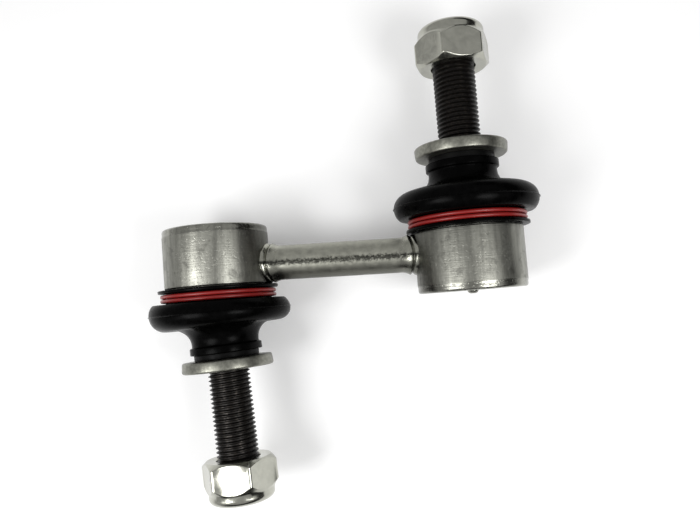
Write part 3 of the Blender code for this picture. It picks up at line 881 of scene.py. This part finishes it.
class LINK_OT_studs(bpy.types.Operator):
    """Build the two ball studs with their rolled threads"""

    bl_idname = "link.studs"
    bl_label = "Ball studs"

    def execute(self, context):
        sizes = context.scene.link_sizes
        ball = sizes.ball_radius
        crest = sizes.thread_radius
        pitch = sizes.thread_pitch
        # The thread's section over one pitch: crest, flank and root
        depth = 0.54 * pitch
        section = ((0, crest), (0.14, crest), (0.43, crest - depth), (0.71, crest - depth))
        chamfer = 0.8 * MM
        neck_angle = math.asin(NECK_RADIUS / ball)
        neck_height, shoulder_taper = 3.0 * MM, 2.4 * MM
        neck_top = HOUSING_TOP + neck_height
        shoulder_top = WASHER_BASE - GAP
        # The thread starts this far inside the shoulder
        overlap = 0.4 * MM
        profile = [
            (0, -ball),
            *arc((0, 0), ball, -math.pi / 2, math.pi / 2 - neck_angle, 40)[1:],
            (NECK_RADIUS, neck_top, 0.8 * MM),
            (SHOULDER_RADIUS, neck_top + shoulder_taper, 0.5 * MM),
            (SHOULDER_RADIUS, shoulder_top, 0.2 * MM),
            (0, shoulder_top),
        ]
        turns = math.ceil((STUD_END - shoulder_top) / pitch) + 2
        steps = 72
        finish = phosphated_steel()
        for side in SIDES:
            bm = bmesh.new()
            verts = []
            for turn in range(turns):
                level = shoulder_top + (turn - 2) * pitch
                for share, radius in section:
                    verts.append(bm.verts.new((radius, 0, level + share * pitch)))
            edges = [bm.edges.new(pair) for pair in zip(verts, verts[1:])]
            bmesh.ops.spin(
                bm, geom=verts + edges, cent=(0, 0, 0), axis=(0, 0, 1), dvec=(0, 0, pitch / steps),
                angle=2 * math.pi, steps=steps,
            )
            bmesh.ops.remove_doubles(bm, verts=bm.verts, dist=DOUBLES)
            for level, up in ((shoulder_top - overlap, -1), (STUD_END, 1)):
                bmesh.ops.bisect_plane(
                    bm, geom=bm.verts[:] + bm.edges[:] + bm.faces[:], dist=DOUBLES / 10,
                    plane_co=(0, 0, level), plane_no=(0, 0, up), clear_outer=True,
                )
            bmesh.ops.holes_fill(bm, edges=[e for e in bm.edges if e.is_boundary])
            for vert in bm.verts:
                limit = crest - chamfer + STUD_END - vert.co.z
                across = math.hypot(vert.co.x, vert.co.y)
                if across > limit:
                    vert.co.x *= limit / across
                    vert.co.y *= limit / across
            take_in(bm, lathe(profile))
            bmesh.ops.recalc_face_normals(bm, faces=bm.faces)
            bmesh.ops.transform(bm, verts=bm.verts, matrix=stud_place(side))
            stud = add_piece(bm, f"forged_stud_{side}", finish)
            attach(stud, f"{side}_stud")
            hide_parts(f"{side}_ball_stud")
        return {"FINISHED"}


class LINK_OT_sleeves(bpy.types.Operator):
    """Build the two flanged sleeves in the boots' necks"""

    bl_idname = "link.sleeves"
    bl_label = "Neck sleeves"

    def execute(self, context):
        bore = SHOULDER_RADIUS + GAP
        flange_radius = 9.2 * MM
        flange = BOOT_TOP + 0.05 * MM
        flange_top = WASHER_BASE - 0.1 * MM
        profile = [
            (bore, SLEEVE_BASE, 0.2 * MM),
            (SLEEVE_RADIUS, SLEEVE_BASE, 0.2 * MM),
            (SLEEVE_RADIUS, flange),
            (flange_radius, flange, 0.1 * MM),
            (flange_radius, flange_top, 0.1 * MM),
            (bore, flange_top, 0.2 * MM),
        ]
        finish = moulded_plastic("black_polyamide", context.scene.link_colours.polyamide, 0.45, 0.1)
        for side, sleeve in turned_pair(profile, "moulded_sleeve", finish, stud_place):
            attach(sleeve, f"{side}_neck")
            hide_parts(f"{side}_neck_sleeve")
        return {"FINISHED"}


class LINK_OT_washers(bpy.types.Operator):
    """Build the two stop washers with their stamped edges"""

    bl_idname = "link.washers"
    bl_label = "Stop washers"

    def execute(self, context):
        sizes = context.scene.link_sizes
        bore = sizes.thread_radius + GAP
        # Stamping leaves the rim a little conical
        draft = 0.3 * MM
        profile = [
            (bore, WASHER_BASE, 0.15 * MM),
            (sizes.washer_radius - draft, WASHER_BASE, 0.6 * MM),
            (sizes.washer_radius, WASHER_TOP, 0.7 * MM),
            (bore, WASHER_TOP, 0.25 * MM),
        ]
        for side, washer in turned_pair(profile, "stamped_washer", stamped_zinc(), stud_place):
            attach(washer, f"{side}_stud")
            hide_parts(f"{side}_stop_washer")
        return {"FINISHED"}


class LINK_OT_nuts(bpy.types.Operator):
    """Build the two lock nuts, and the nylon ring crimped in each one's collar"""

    bl_idname = "link.nuts"
    bl_label = "Lock nuts"

    def execute(self, context):
        flat = context.scene.link_sizes.across_flats / 2
        corner = flat / math.cos(math.pi / 6)
        face_inset, collar_inset = 0.35 * MM, 0.2 * MM
        face = flat - face_inset
        collar = flat - collar_inset
        hex_height = 8.8 * MM
        height = 12.0 * MM
        # Levels of the corners' lower and upper ends, and a band inside each that keeps the sides flat
        low, high = 1.0 * MM, hex_height - 2.2 * MM
        band = 0.2 * MM
        ring_wall, lip_thickness, pocket_height = 1.6 * MM, 1.2 * MM, 2.6 * MM
        pocket_radius = NUT_BORE_RADIUS + ring_wall + GAP
        pocket_top = height - lip_thickness
        pocket_base = pocket_top - pocket_height
        profile = [
            (NUT_BORE_RADIUS, 0, 0.4 * MM),
            (face, 0),
            (corner, low),
            (corner, low + band),
            (corner, high - band),
            (corner, high),
            (collar, hex_height, 1.2 * MM),
            (collar, height, 3.0 * MM),
            (NUT_BORE_RADIUS, height, 0.35 * MM),
            (NUT_BORE_RADIUS, pocket_top),
            (pocket_radius, pocket_top),
            (pocket_radius, pocket_base),
            (NUT_BORE_RADIUS, pocket_base),
        ]
        ring = [
            (NUT_BORE_RADIUS, pocket_base + GAP, 0.2 * MM),
            (pocket_radius - GAP, pocket_base + GAP, 0.2 * MM),
            (pocket_radius - GAP, pocket_top - GAP, 0.2 * MM),
            (NUT_BORE_RADIUS, pocket_top - GAP, 0.2 * MM),
        ]
        # Rounds of the hexagon's corners and of the arcs, and the facets of one turn
        corner_round, arc_round, segments = 0.8 * MM, 0.13 * MM, 288
        finish = bright_zinc()
        nylon = moulded_plastic("white_nylon", context.scene.link_colours.nylon, 0.5)
        for side in SIDES:
            place = stud_place(side) @ Matrix.Translation((0, 0, NUT_BASE[side]))
            bm = lathe(profile, segments)
            arcs = set()
            for vert in bm.verts:
                across = math.hypot(vert.co.x, vert.co.y)
                if across < collar + DOUBLES:
                    continue
                # The hexagon's sides cut the turned ends of the nut in arcs
                reach = hexagon_reach(math.atan2(vert.co.y, vert.co.x), flat, corner_round)
                share = (reach - collar) / (corner - collar)
                if across < corner - DOUBLES:
                    radius = collar + (across - collar) * share
                    vert.co.z = hex_height + (vert.co.z - hex_height) * share
                else:
                    radius = reach
                    lower = vert.co.z < (low + high) / 2
                    edge = low if lower else high
                    if abs(vert.co.z - edge) < DOUBLES:
                        arcs.add(vert)
                    if lower:
                        level = (reach - face) * math.tan(NUT_CHAMFER)
                    else:
                        level = hex_height + (high - hex_height) * share
                    vert.co.z += level - edge
                vert.co.x *= radius / across
                vert.co.y *= radius / across
            edges = [
                e for e in bm.edges
                if set(e.verts) <= arcs and abs(e.verts[0].co.z - e.verts[1].co.z) < 1 * MM
            ]
            bmesh.ops.bevel(
                bm, geom=edges, offset=arc_round, affect="EDGES", segments=2, profile=0.5, material=-1,
                clamp_overlap=True,
            )
            bmesh.ops.transform(
                bm, verts=bm.verts, matrix=place @ Matrix.Rotation(NUT_TURN[side], 4, "Z"),
            )
            nut = add_piece(bm, f"formed_nut_{side}", finish)
            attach(nut, f"{side}_nut")
            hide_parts(f"{side}_lock_nut")
            bm = lathe(ring)
            bmesh.ops.transform(bm, verts=bm.verts, matrix=place)
            insert = add_piece(bm, f"nylon_insert_{side}", nylon)
            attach(insert, f"{side}_nut_travel")
            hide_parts(f"{side}_nylon_ring")
        return {"FINISHED"}


# Camera: turns of the world into the camera's own axes in order X, Y, Z, the shift there, the picture's
# width and the focal length in pixels, and the sensor's width in millimetres
CAMERA_TURNS = (math.radians(-3.454), math.radians(-6.096), math.radians(4.864))
CAMERA_SHIFT = (-2.632 * MM, 1.016 * MM, -185.25 * MM)
IMAGE_WIDTH = 700
FOCAL_PIXELS = 650
SENSOR = 36.0

# Lamps: place, width in metres and power in watts of each, all turned to the middle of the link
LAMPS = {
    "lamp_left": ((-0.156, -0.074, 0.231), 0.12, 0.43),
    "lamp_right": ((0.150, -0.075, 0.205), 0.10, 0.30),
    "side_panel": ((-0.264, -0.113, 0.190), 0.08, 0.05),
}
WORLD_LEVEL = 0.5

# Floor of white paper: half its width, its colour, and its own light where it is seen
PAPER_REACH = 1.5
PAPER_COLOUR = "#f6f6f6"
PAPER_LIFT = 0.1

# Dark card that stands on the floor round the front and the right of the link
CARD_COLOUR = "#272727"
CARD_RADIUS = 0.3
CARD_HEIGHT = 0.15
CARD_FROM, CARD_SPAN = math.radians(-125), math.radians(200)


class LINK_OT_stage(bpy.types.Operator):
    """Set up the floor, the soft lamps, the world and the camera"""

    bl_idname = "link.stage"
    bl_label = "Stage"

    def execute(self, context):
        scene = context.scene
        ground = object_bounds()[0].z
        bm = bmesh.new()
        bmesh.ops.create_grid(bm, x_segments=1, y_segments=1, size=PAPER_REACH)
        bmesh.ops.translate(bm, verts=bm.verts, vec=(0, 0, ground))
        matt = {"Specular IOR Level": 0.1}
        paper, tree, shader, _ = new_material("white_paper", linear(PAPER_COLOUR), 0.9, 0.0, matt)
        # Uncoated paper, lifted toward white where it is seen or mirrored; it keeps the link's shadow
        seen = add_node(tree, "ShaderNodeLightPath").outputs
        mirrored = add_node(
            tree, "ShaderNodeMath", {0: seen["Is Camera Ray"], 1: seen["Is Glossy Ray"]}, operation="ADD",
        )
        shown = add_node(
            tree, "ShaderNodeMath",
            {0: mirrored.outputs[0], 1: seen["Is Transmission Ray"]}, operation="ADD",
        )
        lift = add_node(tree, "ShaderNodeMath", {0: shown.outputs[0], 1: PAPER_LIFT}, operation="MULTIPLY")
        shader.inputs["Emission Color"].default_value = (1, 1, 1, 1)
        tree.links.new(lift.outputs[0], shader.inputs["Emission Strength"])
        floor = add_piece(bm, "floor", paper)
        floor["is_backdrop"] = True

        # Black card, seen only where metal mirrors it: it gives the round sides a dark edge
        card = new_material("black_card", linear(CARD_COLOUR), 0.9, 0.0, matt)[0]
        bm = bmesh.new()
        start = (CARD_RADIUS * math.cos(CARD_FROM), CARD_RADIUS * math.sin(CARD_FROM))
        ends = [bm.verts.new((*start, ground + rise)) for rise in (0, CARD_HEIGHT)]
        side = bm.edges.new(ends)
        bmesh.ops.spin(bm, geom=[*ends, side], cent=(0, 0, 0), axis=(0, 0, 1), angle=CARD_SPAN, steps=48)
        dark = add_piece(bm, "dark_card", card)
        dark.visible_camera = False
        dark.visible_diffuse = False
        dark.visible_shadow = False
        dark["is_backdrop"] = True

        world = bpy.data.worlds.new("studio")
        world.use_nodes = True
        background = world.node_tree.nodes["Background"]
        background.inputs["Color"].default_value = (1, 1, 1, 1)
        background.inputs["Strength"].default_value = WORLD_LEVEL
        scene.world = world

        for name, (where, width, power) in LAMPS.items():
            data = bpy.data.lights.new(name, "AREA")
            data.shape = "SQUARE"
            data.size = width
            data.energy = power
            lamp = bpy.data.objects.new(name, data)
            aim = Vector(where).to_track_quat("Z", "Y").to_matrix().to_4x4()
            lamp.matrix_world = Matrix.Translation(where) @ aim
            scene.collection.objects.link(lamp)

        data = bpy.data.cameras.new("camera")
        data.sensor_width = SENSOR
        data.lens = SENSOR * FOCAL_PIXELS / IMAGE_WIDTH
        data.clip_start = 0.001
        data.clip_end = 20
        camera = bpy.data.objects.new("camera", data)
        turned = Matrix.Identity(4)
        for turn, axis in zip(CAMERA_TURNS, "XYZ"):
            turned = Matrix.Rotation(turn, 4, axis) @ turned
        camera.matrix_world = (Matrix.Translation(CAMERA_SHIFT) @ turned).inverted()
        scene.collection.objects.link(camera)
        scene.camera = camera
        scene.view_settings.view_transform = "Standard"
        return {"FINISHED"}


OPERATORS = (
    LINK_OT_rod,
    LINK_OT_housings,
    LINK_OT_caps,
    LINK_OT_seats,
    LINK_OT_boots,
    LINK_OT_rings,
    LINK_OT_studs,
    LINK_OT_sleeves,
    LINK_OT_washers,
    LINK_OT_nuts,
    LINK_OT_stage,
)


class LINK_PT_build(bpy.types.Panel):
    """Sizes, finishes and the steps that build the link"""

    bl_idname = "LINK_PT_build"
    bl_label = "Stabilizer link"
    bl_space_type = "VIEW_3D"
    bl_region_type = "UI"
    bl_category = "Link"

    def draw(self, context):
        column = self.layout.column()
        for group in (context.scene.link_sizes, context.scene.link_colours):
            for name in group.bl_rna.properties.keys():
                if name not in ("rna_type", "name"):
                    column.prop(group, name)
        for operator in OPERATORS:
            column.operator(operator.bl_idname)


CLASSES = (LinkSizes, LinkColours, *OPERATORS, LINK_PT_build)


def register():
    """Register the classes and the two groups of properties."""
    for item in CLASSES:
        bpy.utils.register_class(item)
    bpy.types.Scene.link_sizes = PointerProperty(type=LinkSizes)
    bpy.types.Scene.link_colours = PointerProperty(type=LinkColours)


def unregister():
    """Take the groups and the classes away again."""
    del bpy.types.Scene.link_colours
    del bpy.types.Scene.link_sizes
    for item in reversed(CLASSES):
        bpy.utils.unregister_class(item)


def main():
    """Build every piece and the stage."""
    register()
    for operator in OPERATORS:
        group, step = operator.bl_idname.split(".")
        getattr(getattr(bpy.ops, group), step)()


if __name__ == "__main__":
    main()
